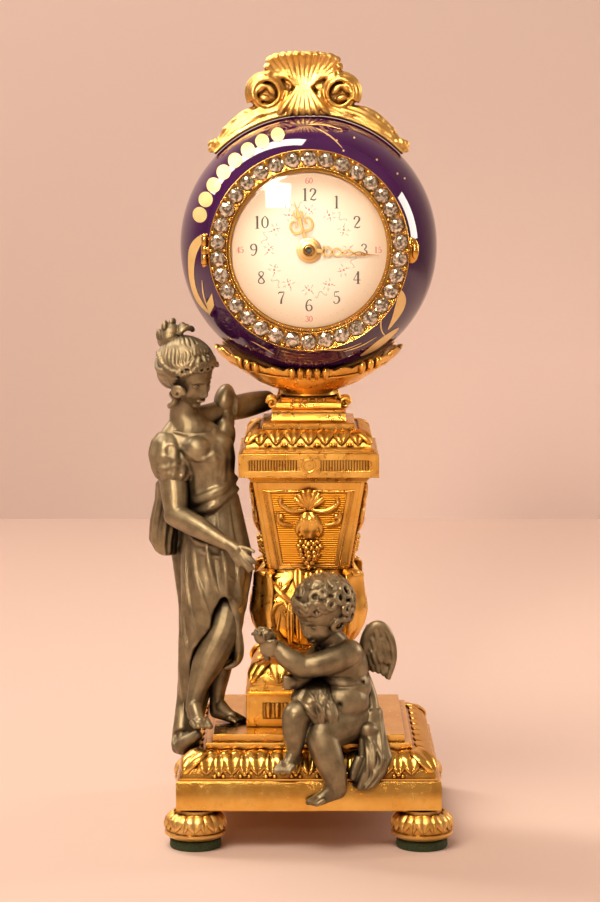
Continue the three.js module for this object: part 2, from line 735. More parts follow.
function ballShell() {
  const inner = ballRadius - ballWall;
  const arc = (radius, rows) => {
    const edge = Math.asin(ballOpening / radius);
    return Array.from({ length: rows + 1 }, (_, i) => {
      const angle = edge + ((Math.PI - 2 * edge) * i) / rows;
      return new THREE.Vector2(radius * Math.sin(angle), radius * Math.cos(angle));
    });
  };
  const skin = facingFront(turned([...arc(ballRadius, ballOuterRows),
    ...arc(inner, ballInnerRows).reverse()], ballSides));
  const nutSpot = rod(nutRadius + fitGap, spotDepth, 12, 0, 0, ballNutSeat + spotDepth / 2);
  const studSpot = rod(finialNutRadius + fitGap, spotDepth, 12, 0, 0, finialNutSeat - spotDepth / 2);
  return cut(skin.translate(0, 0, ballHeight), bore(), finialBore(), nutSpot, studSpot);
}

const finialStudRadius = 1.6;
const finialStudTop = 5; // from the top of the ball to the top of the stud inside the finial
const finialNutRadius = 3.4;
const finialNutHeight = 2.4;
const ballNutHeight = 3;
const spotDepth = 2 * ballWall; // how far a cutter for a flat seat inside the ball runs inwards
const spotShare = 0.8; // share of the ball's wall that a flat seat leaves
const ballTop = ballHeight + ballRadius;
const ballNutSeat = ballHeight - ballRadius + spotShare * ballWall;
const finialNutSeat = ballTop - spotShare * ballWall;
const finialBore = () => rod(finialStudRadius + fitGap, 2 * ballWall + overrun, 10, 0, 0,
  ballTop - ballWall);
addPart("ball_shell", ballShell(), glaze);

// Rod through the pedestal with a nut at each end, and the stud and nut that hold the finial

const rodBase = slabBase + fitGap;
const ballNutBase = ballNutSeat + fitGap;
const rodTop = ballNutBase + ballNutHeight + fitGap;
const nut = (radius, height, base) => {
  const body = rod(radius, height, 6, 0, 0, base + height / 2);
  return cut(body, rod(rodRadius + fitGap, 3 * height, 12, 0, 0, base + height / 2));
};
addPart("tie_rod", rod(rodRadius, rodTop - rodBase, 12, 0, 0, (rodTop + rodBase) / 2), steel);
addPart("base_nut", nut(nutRadius, nutHeight, slabBase + fitGap), steel);
addPart("ball_nut", nut(nutRadius, ballNutHeight, ballNutBase), steel);

const finialNutBase = finialNutSeat - fitGap - finialNutHeight;
const finialStudBase = finialNutBase - fitGap;
function finialNut() {
  const body = rod(finialNutRadius, finialNutHeight, 6, 0, 0, finialNutBase + finialNutHeight / 2);
  return cut(body, rod(finialStudRadius + fitGap, 3 * finialNutHeight, 12, 0, 0, finialNutBase));
}
addPart("finial_nut", finialNut(), steel);

// Finial: two leafy arms that lie along the ball, each with a volute, and a pierced shell between them

const armRise = 4.2; // thickness of an arm over the ball at its volute
const finialVoluteRadius = 5.2;
const finialVoluteReach = 18.2;
const finialBaseHalf = 11;
const volutePlaceShare = 0.9; // of its radius, over the ball
const voluteDepthShare = 0.8; // of the finial's depth
const finialEyeShare = 0.4;
const finialFootShare = 0.4; // of the rise of an arm

const armStart = 4.4; // from the middle of the clock to the inner end of an arm
const armStepShares = [0, 0.33, 0.67, 1];
const armThickShares = [1.15, 0.4]; // at its inner and its outer end
const armDepthShares = [0.5, 0.225];
const armSides = 7;
const blend = ([from, to], share) => from + (to - from) * share;

function finialArm(side) {
  const stations = armStepShares.map((share) => {
    const angle = Math.asin(blend([armStart, saddleReach], share) / (ballRadius + armRise));
    const thick = armRise * blend(armThickShares, share);
    const reach = ballRadius + fitGap + thick / 2;
    const place = [side * reach * Math.sin(angle), 0, ballHeight + reach * Math.cos(angle)];
    return [place, thick, finialDepth * blend(armDepthShares, share)];
  });
  return limb(stations, armSides, new THREE.Vector3(0, 0, 1));
}

function finialVolute(side) {
  const scroll = join(rod(finialVoluteRadius, finialDepth * voluteDepthShare),
    rod(finialVoluteRadius * finialEyeShare, finialDepth, 8));
  const over = Math.sqrt((ballRadius + finialVoluteRadius * volutePlaceShare) ** 2 - finialVoluteReach ** 2);
  return scroll.rotate([90, 0, 0]).translate([side * finialVoluteReach, 0, ballHeight + over]);
}

// Along a rib: share of its reach, forward lean, half width and half depth, all as shares of the shell's
// height.
const ribShares = [[0, 0, 0.073, 0.073], [0.55, 0.024, 0.158, 0.091], [0.88, 0.085, 0.176, 0.097],
  [1, 0.145, 0.079, 0.061]];
const ribSides = 5;
const shellSpread = 62; // degrees to each side
const shellRootShare = 0.6; // of the arm's rise that the ribs reach over

function finialShell() {
  const ribs = [];
  const root = ballTop + armRise;
  for (let i = 0; i < shellRibs; i += 1) {
    const lean = shellSpread * degrees * ((2 * i) / (shellRibs - 1) - 1);
    const reach = shellHeight + armRise * shellRootShare - Math.abs(lean) * (shellHeight - shellHalfWidth);
    const rib = limb(ribShares.map(([up, forward, wide, deep]) =>
      [[0, -forward * shellHeight, up * reach], wide * shellHeight, deep * shellHeight]), ribSides);
    ribs.push(rib.rotateY(lean).translate(shellOffset, 0, root));
  }
  return ribs;
}

function shellFinial() {
  const foot = box(2 * finialBaseHalf, finialDepth, 2 * armRise, 0, 0, ballTop + armRise * finialFootShare);
  const stud = rod(finialStudRadius, ballTop - finialStudBase + finialStudTop, 10, 0, 0,
    (ballTop + finialStudTop + finialStudBase) / 2);
  const mass = join([-1, 1].flatMap((side) => [finialArm(side), finialVolute(side)]), foot, finialShell());
  return join(cut(mass, ballHollow()), stud);
}
addPart("shell_finial", shellFinial(), gilt);

// Movement frame: X to the right and Y up on the dial, and Z forwards from the middle of the ball.
const inMovement = (thing) => asSolid(thing).rotate([90, 0, 0]).translate([0, 0, ballHeight]);
const addToMovement = (name, thing, look) => addPart(name, inMovement(thing), look);
const between = (radius, back, front, sides = 12, x = 0, y = 0) =>
  rod(radius, front - back, sides, x, y, (front + back) / 2);
const at = (radius, turn) => [radius * Math.cos(turn * degrees), radius * Math.sin(turn * degrees)];

// Depths, each worked out from the one it seats on
const seatBack = Math.sqrt(ballRadius ** 2 - ballOpening ** 2) + fitGap;
const drumFront = seatBack - fitGap;
const drumBack = -drumFront;
const seatFace = seatBack + seatDepth;
const fittedRadius = drumRadius - drumWall - fitGap; // of what fits inside the drum
const hourHandReach = hourHandShare * fittedRadius;
const minuteHandReach = minuteHandShare * fittedRadius;
const dialFace = seatBack - fitGap;
const dialBack = dialFace - dialThick;
const frontPlateFace = dialBack - dialSpace;
const frontPlateBack = frontPlateFace - plateThick;
const backPlateFace = frontPlateBack - plateSpace;
const backPlateBack = backPlateFace - plateThick;
const bezelBack = seatFace + fitGap;
const bezelFace = bezelBack + bezelThick;

// Fixed ring on the front of the ball, with the two outer knuckles of the bezel's hinge

const hingeX = -(bezelRadius + hingeOffset);
const hingeDepth = bezelBack + knuckleRadius - fitGap / 2;
const onBall = (radius) => Math.sqrt((ballRadius + fitGap * 1.3) ** 2 - radius ** 2);
const ballSideShares = [1, 0.88]; // where the back of the ring follows the ball, of its radius
const lugRootShare = 0.93; // how far out the foot of a lug starts, of the ring's radius

function knuckle(low, high) {
  return new THREE.CylinderGeometry(knuckleRadius, knuckleRadius, high - low, 8)
    .translate(hingeX, (low + high) / 2, hingeDepth);
}

function bezelSeat() {
  const ring = turned([
    new THREE.Vector2(fittedRadius, seatBack),
    new THREE.Vector2(fittedRadius, seatFace),
    new THREE.Vector2(seatRadius, seatFace),
    ...ballSideShares.map((share) => new THREE.Vector2(seatRadius * share, onBall(seatRadius * share))),
  ], ballSides);
  const low = knuckleLength / 2 + fitGap;
  const high = low + knuckleLength;
  const reach = bezelRadius + fitGap;
  const outside = -hingeX + knuckleRadius;
  const lugs = [-1, 1].flatMap((side) => {
    const middle = (side * (low + high)) / 2;
    const root = lugRootShare * seatRadius;
    const foot = box(outside - root, knuckleLength, seatFace - seatBack + 2 * fitGap,
      -(outside + root) / 2, middle, (seatFace + seatBack) / 2 - fitGap);
    const post = box(outside - reach, knuckleLength, hingeDepth - seatBack,
      -(outside + reach) / 2, middle, (hingeDepth + seatBack) / 2);
    return [foot, post, knuckle(Math.min(side * low, side * high), Math.max(side * low, side * high))];
  });
  const pinHole = new THREE.CylinderGeometry(hingePinRadius + fitGap / 2, hingePinRadius + fitGap / 2,
    4 * high, 8).translate(hingeX, 0, hingeDepth);
  return cut(join(ring, lugs), pinHole);
}
addToMovement("bezel_seat", bezelSeat(), gilt);
addToMovement("bezel_hinge_pin", new THREE.CylinderGeometry(hingePinRadius, hingePinRadius,
  3 * knuckleLength + 2 * fitGap, 8).translate(hingeX, 0, hingeDepth), steel);

// Bezel: a channel with a row of cut stones, a knuckle on its left and a thumb tab on its right

const glassSeatRadius = bezelInnerRadius + 1;
const glassEdgeRadius = glassSeatRadius - fitGap;
const glassLip = 1.2; // metal in front of the edge of the glass
const glassEdgeFace = bezelFace - glassLip - fitGap;
const glassEdgeBack = glassEdgeFace - glassThick;
const channelDepth = 0.8;
const channelFloor = bezelFace - channelDepth;

function brilliant(turn) {
  const rings = [
    [stoneRadius, channelFloor - weldDepth],
    [stoneRadius * stoneTableShare, channelFloor + stoneRise],
  ].map(([radius, height]) => levelRing([0, 0, height], radius, radius, 4));
  const [x, y] = at(stoneCircleRadius, turn);
  return loft(rings).rotateZ(turn * degrees).translate(x, y, 0);
}

function bezel() {
  const ring = turned([
    new THREE.Vector2(glassSeatRadius, bezelBack),
    new THREE.Vector2(bezelRadius, bezelBack),
    new THREE.Vector2(bezelRadius, bezelFace),
    new THREE.Vector2(bezelRadius - rimWidth, bezelFace),
    new THREE.Vector2(bezelRadius - rimWidth, channelFloor),
    new THREE.Vector2(bezelInnerRadius + rimWidth, channelFloor),
    new THREE.Vector2(bezelInnerRadius + rimWidth, bezelFace),
    new THREE.Vector2(bezelInnerRadius, bezelFace),
    new THREE.Vector2(bezelInnerRadius, bezelFace - glassLip),
    new THREE.Vector2(glassSeatRadius, bezelFace - glassLip),
  ], ballSides);
  const stones = Array.from({ length: stoneCount }, (_, i) => brilliant(90 - (360 * i) / stoneCount));
  const arm = box(hingeOffset + rimWidth, knuckleLength, 2 * knuckleRadius - fitGap,
    (hingeX - bezelRadius + rimWidth) / 2, 0, hingeDepth);
  const hinged = join(ring, stones, arm, knuckle(-knuckleLength / 2, knuckleLength / 2));
  const tab = box(tabReach + rimWidth, tabWidth, bezelThick / 2,
    bezelRadius + (tabReach - rimWidth) / 2, 0, bezelBack + bezelThick / 4);
  const pinHole = new THREE.CylinderGeometry(hingePinRadius + fitGap / 2, hingePinRadius + fitGap / 2,
    2 * knuckleLength, 8).translate(hingeX, 0, hingeDepth);
  return cut(join(hinged, tab), pinHole);
}
addToMovement("bezel", bezel(), gilt);

// Domed glass, held in the bezel by a sprung ring

const domeSlackShare = 0.1; // of the thickness of the glass
const domeRadius = bezelInnerRadius - fitGap - domeSlackShare * glassThick;
const domeSteps = 2;
const domeSides = 20;

function dome(radius, rise, base) {
  return Array.from({ length: domeSteps + 1 }, (_, i) => {
    const share = i / domeSteps;
    return new THREE.Vector2(radius * (1 - share), base + rise * (1 - (1 - share) ** 2));
  });
}

function bezelGlass() {
  const outside = dome(domeRadius, glassDome, glassEdgeFace);
  const inside = dome(domeRadius - glassThick / 2, glassDome, glassEdgeBack).reverse();
  return turned([
    new THREE.Vector2(glassEdgeRadius, glassEdgeBack),
    new THREE.Vector2(glassEdgeRadius, glassEdgeFace),
    ...outside,
    ...inside,
  ], domeSides);
}
addToMovement("bezel_glass", bezelGlass(), clearGlass);
addToMovement("glass_ring", turned([
  new THREE.Vector2(glassEdgeRadius - 2 * fitGap - rimWidth, bezelBack + fitGap),
  new THREE.Vector2(glassEdgeRadius, bezelBack + fitGap),
  new THREE.Vector2(glassEdgeRadius, glassEdgeBack - fitGap),
  new THREE.Vector2(glassEdgeRadius - 2 * fitGap - rimWidth, glassEdgeBack - fitGap),
], domeSides), brass);

// Drum and back cover

addToMovement("movement_drum", turned([
  new THREE.Vector2(drumRadius - drumWall, drumBack),
  new THREE.Vector2(drumRadius, drumBack),
  new THREE.Vector2(drumRadius, drumFront),
  new THREE.Vector2(drumRadius - drumWall, drumFront),
], domeSides), brass);

// Dial

function dialPlate() {
  const face = dome(fittedRadius - fitGap, dialDome, dialFace - dialDome / 3);
  const back = dialFace - dialThick;
  const disc = turned([new THREE.Vector2(0, back), new THREE.Vector2(fittedRadius - fitGap, back),
    ...face], domeSides);
  return cut(disc, between(dialHoleRadius, back - overrun, dialFace + dialDome + overrun, 14));
}
addToMovement("dial", dialPlate(), enamel);

// Hands: pierced, in the Louis XV manner, as scrolls round open loops; the pointer is straight up

function pierced(points, holes, thick, base) {
  const shape = new THREE.Shape(points.map(([x, y]) => new THREE.Vector2(x, y)));
  for (const [x, y, wide, tall] of holes) {
    const hole = new THREE.Path();
    hole.absellipse(x, y, wide, tall, 0, fullTurn, true);
    shape.holes.push(hole);
  }
  return new THREE.ExtrudeGeometry(shape, { depth: thick, bevelEnabled: false,
    curveSegments: 3 }).translate(0, 0, base);
}

// Half widths of the blade as shares of the hand's reach, from the boss to the tip.
const hourBladeShares = [[0.06, 0.2], [0.05, 0.3], [0.15, 0.38], [0.2, 0.5], [0.13, 0.6], [0.05, 0.68],
  [0.1, 0.76],
  [0.05, 0.84], [0.012, 1]];
const minuteBladeShares = [[0.04, 0.1], [0.03, 0.22], [0.09, 0.3], [0.12, 0.4], [0.07, 0.48], [0.025, 0.56],
  [0.055, 0.64], [0.02, 0.74], [0.008, 1]];

function hand(shares, reach, boss, hole, base, turn, holeShares) {
  const right = shares.map(([across, along]) => [across * reach, along * reach]);
  const left = right.map(([x, y]) => [-x, y]).reverse();
  const holes = holeShares.map(([x, y, w, h]) => [x * reach, y * reach, w * reach, h * reach]);
  const blade = pierced([...right, ...left], holes, handThick, base);
  const disc = between(boss, base, base + handThick, 16);
  const whole = cut(join(blade, disc), between(hole, base - overrun, base + overrun, 12));
  return whole.rotate([0, 0, -turn]);
}
const hourHandBase = dialFace + dialDome + 2 * fitGap;
const minuteHandBase = hourHandBase + handThick + 2 * fitGap;
const hourPipeEnd = hourHandBase + handThick + fitGap / 3;
const cannonPipeEnd = minuteHandBase + handThick + fitGap / 3;
const colletBack = cannonPipeEnd + fitGap;
const colletThick = 0.7;
const arborFront = colletBack + colletThick;
addToMovement("hour_hand", hand(hourBladeShares, hourHandReach, handBossRadius, hourPipeRadius + fitGap,
  hourHandBase,
  hourHandTurn, [[0.085, 0.48, 0.05, 0.07], [-0.085, 0.48, 0.05, 0.07]]), paleGilt);
addToMovement("minute_hand", hand(minuteBladeShares, minuteHandReach, minuteBossRadius,
  cannonPipeRadius + fitGap,
  minuteHandBase, minuteHandTurn, [[0.05, 0.38, 0.03, 0.05], [-0.05, 0.38, 0.03, 0.05]]), paleGilt);
const colletRadius = 2.4;
addToMovement("hand_collet", cut(between(colletRadius, colletBack, arborFront),
  between(arborRadius + fitGap, colletBack - overrun, arborFront + overrun, 10)), paleGilt);

// Toothed wheels

const toothRootShare = 1.1; // depth of a tooth below the pitch circle, as a share of the module
const toothTipShare = 0.5;
const meshGap = 0.05; // added to each distance between two meshing wheels
const pitchRadius = (teeth) => (teeth * toothModule) / 2;
const meshDistance = (one, other) => pitchRadius(one) + pitchRadius(other) + meshGap;

// A wheel whose first tooth points along the given turn, in degrees.
function toothed(teeth, back, thick, turn) {
  const points = [];
  const pitch = fullTurn / teeth;
  const root = pitchRadius(teeth) - toothRootShare * toothModule;
  const tip = pitchRadius(teeth) + toothTipShare * toothModule;
  for (let i = 0; i < teeth; i += 1) {
    const angle = turn * degrees + i * pitch;
    for (const [radius, lean] of [[tip, 0], [root, 0.5]])
      points.push([radius * Math.cos(angle + lean * pitch), radius * Math.sin(angle + lean * pitch)]);
  }
  return slab(points, thick, back);
}
// The turn that puts a gap, and not a tooth, towards another wheel's tooth.
const gapTowards = (teeth, turn) => turn + 180 / teeth;

// Places on the plates, chained outwards from the middle: each is a distance and a turn from the one
// before.
const barrelTurn = -90;
const thirdTurn = 60;
const fourthTurn = 175;
const escapeTurn = 205;
const balanceTurn = 250;
const minuteWheelTurn = -20;
const beyond = ([x, y], radius, turn) => {
  const [dx, dy] = at(radius, turn);
  return [x + dx, y + dy];
};
const centrePlace = [0, 0];
const barrelPlace = beyond(centrePlace, meshDistance(barrelTeeth, trainPinionTeeth), barrelTurn);
const thirdPlace = beyond(centrePlace, meshDistance(centreTeeth, trainPinionTeeth), thirdTurn);
const fourthPlace = beyond(thirdPlace, meshDistance(thirdTeeth, trainPinionTeeth), fourthTurn);
const escapePlace = beyond(fourthPlace, meshDistance(fourthTeeth, trainPinionTeeth), escapeTurn);
const staffShare = 0.8; // of the radius of an arbor
const staffRadius = arborRadius * staffShare;
const balancePlace = beyond(escapePlace, escapeRadius + cylinderGap + staffRadius, balanceTurn);
const minuteWheelPlace = beyond(centrePlace, meshDistance(cannonTeeth, minuteWheelTeeth), minuteWheelTurn);

// Levels between the plates, from the front plate backwards
const levelGap = 0.9;
const barrelTeethBack = frontPlateBack - levelGap - wheelThick;
const thirdLevel = barrelTeethBack - levelGap - wheelThick;
const escapeLevel = thirdLevel - levelGap - wheelThick;
const fourthLevel = escapeLevel - 1.5 * levelGap - wheelThick;
const centreLevel = backPlateFace + 2.4 * levelGap;
const barrelBack = centreLevel + wheelThick + levelGap;
const pinionSide = fitGap; // how far a pinion runs past the wheel that drives it, each way
const pinion = (level, turn) =>
  toothed(trainPinionTeeth, level - pinionSide, wheelThick + 2 * pinionSide,
    gapTowards(trainPinionTeeth, turn));
const arbor = () => between(arborRadius, backPlateBack, frontPlateFace, 6);
const placed = (thing, [x, y]) => asSolid(thing).translate([x, y, 0]);

// Plates and pillars

const pillarTurns = [90, 210, 330].slice(0, pillarCount);
const throughBoth = (place, radius) => placed(between(radius, backPlateBack - overrun,
  frontPlateFace + overrun, 6), place);
const barrelArborRadius = 2 * arborRadius;
const plateHoles = [
  throughBoth(centrePlace, arborRadius + pivotGap),
  throughBoth(barrelPlace, barrelArborRadius + pivotGap),
  throughBoth(thirdPlace, arborRadius + pivotGap),
  throughBoth(fourthPlace, arborRadius + pivotGap),
  throughBoth(escapePlace, arborRadius + pivotGap),
  throughBoth(balancePlace, arborRadius + pivotGap),
];
const clickPlace = [barrelPlace[0] + 2 * ratchetRadius, barrelPlace[1] + ratchetRadius];
const clickHole = throughBoth(clickPlace, arborRadius + pivotGap);
const minuteHole = throughBoth(minuteWheelPlace, arborRadius + pivotGap);
addToMovement("front_plate", cut(between(fittedRadius, frontPlateBack, frontPlateFace, domeSides),
  plateHoles, minuteHole), brass);
addToMovement("back_plate", cut(between(fittedRadius, backPlateBack, backPlateFace, domeSides), plateHoles,
  clickHole), brass);
pillarTurns.forEach((turn, i) => {
  const [x, y] = at(fittedRadius - pillarInset, turn);
  const body = between(pillarRadius, backPlateFace + fitGap, frontPlateBack - fitGap, 10, x, y);
  addToMovement(`plate_pillar_${i + 1}`, body, brass);
});

// Going train, from the barrel to the escape wheel

function barrel() {
  const radius = pitchRadius(barrelTeeth) - 2 * toothRootShare * toothModule;
  const body = between(radius, barrelBack, barrelTeethBack + wheelThick / 2, 24);
  const teeth = toothed(barrelTeeth, barrelTeethBack, wheelThick, -barrelTurn);
  const hole = between(barrelArborRadius + fitGap, barrelBack - overrun, frontPlateBack, 12);
  return placed(cut(join(body, teeth), hole), barrelPlace);
}
addToMovement("mainspring_barrel", barrel(), brass);

function centreWheel() {
  const teeth = toothed(centreTeeth, centreLevel, wheelThick, thirdTurn);
  const leaves = pinion(barrelTeethBack, barrelTurn);
  const pipe = between(pitchRadius(trainPinionTeeth) - toothRootShare * toothModule + meshGap, centreLevel,
    barrelTeethBack + wheelThick, 10);
  const hole = between(arborRadius + fitGap, centreLevel - overrun, frontPlateBack, 10);
  return cut(join(teeth, leaves, pipe), hole);
}
addToMovement("centre_wheel", centreWheel(), brass);

function trainWheel(teeth, level, next, leavesLevel, previous, place) {
  const wheel = toothed(teeth, level, wheelThick, next);
  return placed(join(wheel, pinion(leavesLevel, previous + 180), arbor()), place);
}
addToMovement("third_wheel", trainWheel(thirdTeeth, thirdLevel, fourthTurn, centreLevel, thirdTurn,
  thirdPlace), brass);
addToMovement("fourth_wheel", trainWheel(fourthTeeth, fourthLevel, escapeTurn, thirdLevel, fourthTurn,
  fourthPlace), brass);

const escapeRootShare = 0.72;
const escapeLeanShare = 0.35; // of the pitch

function escapeWheel() {
  const points = [];
  const pitch = 360 / escapeTeeth;
  for (let i = 0; i < escapeTeeth; i += 1) {
    const turn = balanceTurn + (i + 0.5) * pitch;
    const root = escapeRootShare * escapeRadius;
    points.push(at(root, turn - escapeLeanShare * pitch), at(escapeRadius, turn), at(root, turn));
  }
  const wheel = slab(points, wheelThick, escapeLevel);
  return placed(join(wheel, pinion(fourthLevel, escapeTurn + 180), arbor()), escapePlace);
}
addToMovement("escape_wheel", escapeWheel(), brass);

// Balance behind the back plate, its cock and the regulator lever

const balanceFace = backPlateBack - levelGap;
const balanceBack = balanceFace - wheelThick;
const cockFace = balanceBack - levelGap;
const cockBack = cockFace - plateThick;
const cockBossRadius = 3 * arborRadius;
const cockFootReach = balanceRadius + 3;
const regulatorThick = 0.6;
const regulatorBack = cockBack - fitGap - regulatorThick;
const regulatorReach = 9;
const regulatorWidth = 1.3;
const cockTurn = 200;

function balanceWheel() {
  const rim = cut(between(balanceRadius, balanceBack, balanceFace, 20),
    between(balanceRadius - balanceRimWidth, balanceBack - overrun, balanceFace + overrun, 20));
  const arm = box(2 * balanceRadius - balanceRimWidth, balanceRimWidth, wheelThick, 0, 0,
    (balanceFace + balanceBack) / 2);
  return placed(join(rim, arm, between(staffRadius, cockBack + fitGap, frontPlateFace, 8)), balancePlace);
}
addToMovement("balance_wheel", balanceWheel(), brass);

function balanceCock() {
  const width = 2 * cockBossRadius;
  const bar = box(cockFootReach + width / 2, width, plateThick, cockFootReach / 2 + width / 4, 0,
    (cockFace + cockBack) / 2);
  const foot = box(width, width, backPlateBack - fitGap - cockBack, cockFootReach, 0,
    (backPlateBack - fitGap + cockBack) / 2);
  const boss = between(cockBossRadius / 1.5, regulatorBack - fitGap - regulatorThick, cockFace, 12);
  const cap = between(cockBossRadius, regulatorBack - fitGap - regulatorThick, regulatorBack - fitGap, 12);
  const hole = between(staffRadius + pivotGap, cockBack + fitGap / 2, cockFace + overrun, 8);
  return placed(cut(join(bar, foot, between(cockBossRadius, cockBack, cockFace, 12), boss, cap), hole)
    .rotate([0, 0, cockTurn]), balancePlace);
}
addToMovement("balance_cock", balanceCock(), brass);

function regulatorLever() {
  const ring = between(cockBossRadius + regulatorWidth / 2, regulatorBack, regulatorBack + regulatorThick,
    14);
  const arm = box(regulatorReach, regulatorWidth, regulatorThick, regulatorReach / 2, 0,
    regulatorBack + regulatorThick / 2);
  const hole = between(cockBossRadius / 1.5 + fitGap, regulatorBack - overrun, cockFace, 12);
  return placed(cut(join(ring, arm), hole).rotate([0, 0, cockTurn - 110]), balancePlace);
}
addToMovement("regulator_lever", regulatorLever(), steel);

// Winding: arbor, ratchet wheel and click behind the back plate, and the key behind the cover

const ratchetFace = backPlateBack - fitGap;
const ratchetBack = ratchetFace - wheelThick;
const coverInside = drumBack - fitGap;
const coverOutside = coverInside - coverThick - coverDome;
const keyFace = coverOutside - 2 * fitGap;
const keyHubEnd = keyFace - keyStandoff;
const keyHubRadius = 2.4;
const arborEnd = keyHubEnd + fitGap;

addToMovement("barrel_arbor", placed(between(barrelArborRadius, arborEnd, frontPlateFace, 12),
  barrelPlace), steel);

const ratchetRootShare = 0.8;
const ratchetLeanShare = 0.1; // of the pitch

function ratchetWheel() {
  const points = [];
  const pitch = 360 / ratchetTeeth;
  for (let i = 0; i < ratchetTeeth; i += 1)
    points.push(at(ratchetRootShare * ratchetRadius, i * pitch),
      at(ratchetRadius, (i + ratchetLeanShare) * pitch));
  const hole = between(barrelArborRadius + fitGap, ratchetBack - overrun, ratchetFace + overrun, 12);
  return placed(cut(slab(points, wheelThick, ratchetBack), hole), barrelPlace);
}
addToMovement("ratchet_wheel", ratchetWheel(), steel);

// The click's outline: along it as shares of its reach, and across it as shares of its arbor. Its tail
// has no reach.
const clickTailShare = -1.2;
const clickShares = [[0.6, -0.9], [1, -0.1], [1, 0.2], [0.5, 1]];

function click() {
  const [x, y] = [clickPlace[0] - barrelPlace[0], clickPlace[1] - barrelPlace[1]];
  const turn = Math.atan2(-y, -x) / degrees;
  const reach = Math.hypot(x, y) - ratchetRadius - fitGap;
  const tail = clickTailShare * arborRadius;
  const blade = clickShares.map(([along, across]) => [along * reach, across * arborRadius]);
  const body = slab([[tail, tail], ...blade, [tail, -tail]], wheelThick,
    ratchetBack).rotateZ(turn * degrees);
  const stud = between(arborRadius, ratchetBack, backPlateFace, 8);
  return placed(join(body, stud), clickPlace);
}
addToMovement("click", click(), steel);

function windingKey() {
  const hub = between(keyHubRadius, keyHubEnd, keyFace, 12);
  const wing = (side) => {
    const ring = rod(keyWidth / 4, keyThick, 12);
    const eye = rod(keyWidth / 9, 2 * keyThick, 8);
    return cut(ring, eye).rotate([90, 0, 0]).translate([(side * keyWidth) / 4, 0,
      keyHubEnd - keyHeight / 2 + 1.5]);
  };
  const web = box(keyWidth / 2, keyThick, keyHeight / 2, 0, 0, keyHubEnd - keyHeight / 5);
  const bored = between(barrelArborRadius + fitGap, arborEnd - fitGap, keyFace + overrun, 8);
  return placed(cut(join(hub, wing(-1), wing(1), web), bored), barrelPlace);
}
addToMovement("winding_key", windingKey(), brass);

// Hand setting: centre arbor from the collet to the knob behind the cover, and the motion work under the
// dial

const knobFace = coverOutside - 2 * fitGap;
const knobBack = knobFace - setKnobThick;
addToMovement("centre_arbor", between(arborRadius, knobBack + fitGap, arborFront, 10), steel);

const knobLobes = 8;
const knobHollowShare = 0.06;
const knobShares = [[0.85, 0], [1, 0.2], [1, 0.9], [0.8, 1]]; // out of its radius and along its thickness

function setKnob() {
  const swell = (angle) => 1 - knobHollowShare * (1 - Math.cos(knobLobes * angle));
  const rings = knobShares.map(([out, along]) => {
    const radius = out * setKnobRadius;
    return levelRing([0, 0, knobBack + along * setKnobThick], radius, radius, 2 * knobLobes, swell);
  });
  return cut(loft(rings), between(arborRadius + fitGap, knobBack - overrun, knobFace + overrun, 10));
}
addToMovement("set_knob", setKnob(), brass);

const cannonBack = frontPlateFace + 2 * fitGap;
const cannonThick = wheelThick + 2 * pinionSide;
const minuteWheelBack = cannonBack + pinionSide;
const hourWheelBack = minuteWheelBack + wheelThick + levelGap + pinionSide;

function cannonPinion() {
  const leaves = toothed(cannonTeeth, cannonBack, cannonThick, gapTowards(cannonTeeth, minuteWheelTurn));
  const pipe = between(cannonPipeRadius, cannonBack, cannonPipeEnd, 12);
  return cut(join(leaves, pipe), between(arborRadius + fitGap, cannonBack - overrun,
    cannonPipeEnd + overrun, 10));
}
addToMovement("cannon_pinion", cannonPinion(), steel);

function minuteWheel() {
  const wheel = toothed(minuteWheelTeeth, minuteWheelBack, wheelThick, minuteWheelTurn + 180);
  const leaves = toothed(minutePinionTeeth, hourWheelBack - pinionSide, wheelThick + 2 * pinionSide,
    gapTowards(minutePinionTeeth, minuteWheelTurn + 180));
  const stud = between(arborRadius, frontPlateBack, hourWheelBack + wheelThick + 2 * pinionSide, 8);
  return placed(join(wheel, leaves, stud), minuteWheelPlace);
}
addToMovement("minute_wheel", minuteWheel(), brass);

function hourWheel() {
  const wheel = toothed(hourWheelTeeth, hourWheelBack, wheelThick, minuteWheelTurn);
  const pipe = between(hourPipeRadius, hourWheelBack, hourPipeEnd, 14);
  const hole = between(cannonPipeRadius + fitGap, hourWheelBack - overrun, hourPipeEnd + overrun, 12);
  return cut(join(wheel, pipe), hole);
}
addToMovement("hour_wheel", hourWheel(), brass);

const coverFlatShare = 0.92; // of its radius, where it starts to follow the ball
const coverBallShares = [0.94, 1];
const coverDomeShares = [0.9, 0.5]; // of its radius, at the foot and half way up the dome
const coverCrownShare = 0.25; // of the dome's height that is left above that half way point

function backCover() {
  const [domeFoot, domeMiddle] = coverDomeShares.map((share) => share * coverRadius);
  const disc = turned([
    new THREE.Vector2(0, coverInside),
    new THREE.Vector2(coverRadius * coverFlatShare, coverInside),
    ...coverBallShares.map((share) => new THREE.Vector2(coverRadius * share, -onBall(coverRadius * share))),
    new THREE.Vector2(coverRadius, coverInside - coverThick / 2),
    new THREE.Vector2(domeFoot, coverInside - coverThick),
    new THREE.Vector2(domeMiddle, coverOutside + coverDome * coverCrownShare),
    new THREE.Vector2(0, coverOutside),
  ], domeSides);
  const long = 2 * coverRadius;
  return cut(disc, between(arborRadius + pivotGap, -long, 0, 10),
    placed(between(barrelArborRadius + pivotGap, -long, 0, 12), barrelPlace));
}
addToMovement("back_cover", backCover(), gilt);

// Figures. Each is one patinated casting. Its table holds shares of its height, from its foot point on
// the plinth:
// to the right, backwards and up, then the radius across and through, and for cloth the strength of its
// folds.
const womanHeight = 150;
const womanOutside = 2.6; // her foot point is this far beyond the edge of the upper step
const womanForward = 15;
